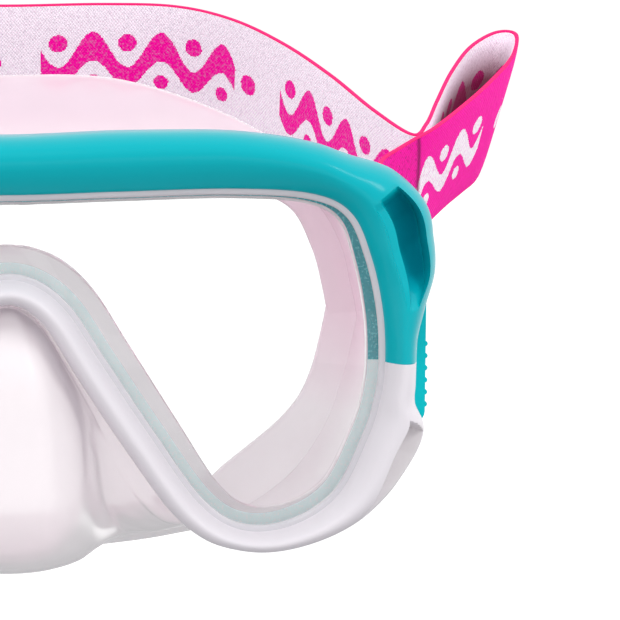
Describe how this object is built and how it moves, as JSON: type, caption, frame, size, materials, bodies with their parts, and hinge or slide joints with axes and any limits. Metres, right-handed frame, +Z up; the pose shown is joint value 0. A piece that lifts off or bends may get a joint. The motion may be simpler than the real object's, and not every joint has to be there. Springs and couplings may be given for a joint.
{
  "type": "dive mask",
  "caption": "Junior dive mask: single glass window in a two-part frame, clear silicone skirt with nose pocket, elastic strap on swivelling lock-lever buckles.",
  "frame": {"origin": "centre of the face seal, level with the middle of the window's width, on the plane that the side seals reach", "axes": "+Y points to the wearer, so the window faces -Y; +Z is up; +X is the wearer's left"},
  "size_m": [0.2256, 0.1516, 0.1045],
  "materials": {
    "teal_plastic": "moulded, satin gloss",
    "white_plastic": "moulded, gloss",
    "tempered_glass": "polished",
    "clear_silicone": "translucent, satin",
    "cyan_plastic": "moulded, satin",
    "dark_cyan_plastic": "moulded, fine texture",
    "steel": "brushed stainless",
    "spring_steel": "drawn wire",
    "elastic_webbing": "woven elastic, jacquard pattern"
  },
  "bodies": {
    "root": {"frame_upper": "teal_plastic", "frame_lower": "white_plastic", "lens": "tempered_glass", "skirt": "clear_silicone", "buckle_mount_left": "cyan_plastic", "buckle_mount_right": "cyan_plastic", "mount_screws": "steel", "pivot_pins": "steel", "pivot_clips": "spring_steel"},
    "strap_swing": {"buckle_left": "cyan_plastic", "buckle_right": "cyan_plastic", "strap_bar_left": "steel", "strap_bar_right": "steel", "lever_pin_left": "steel", "lever_pin_right": "steel", "lever_spring_left": "spring_steel", "lever_spring_right": "spring_steel", "strap": "elastic_webbing"},
    "lever_left": {"lock_lever_left": "dark_cyan_plastic"},
    "lever_right": {"lock_lever_right": "dark_cyan_plastic"}
  },
  "joints": [
    {"name": "strap_swivel", "type": "hinge", "parent": "root", "child": "strap_swing", "pos_m": [0.0714, -0.022, -0.001], "axis": [1, 0, 0], "range_deg": [-60, 22]},
    {"name": "left_lever_hinge", "type": "hinge", "parent": "strap_swing", "child": "lever_left", "pos_m": [0.0754, -0.00722, 0.00512], "axis": [0, 0.3827, -0.9239], "range_deg": [0, 15], "stiffness_Nm_per_rad": 0.02, "springref_deg": -11.46},
    {"name": "right_lever_hinge", "type": "hinge", "parent": "strap_swing", "child": "lever_right", "pos_m": [-0.0754, -0.00722, 0.00512], "axis": [0, -0.3827, 0.9239], "range_deg": [0, 15], "stiffness_Nm_per_rad": 0.02, "springref_deg": -11.46}
  ]
}
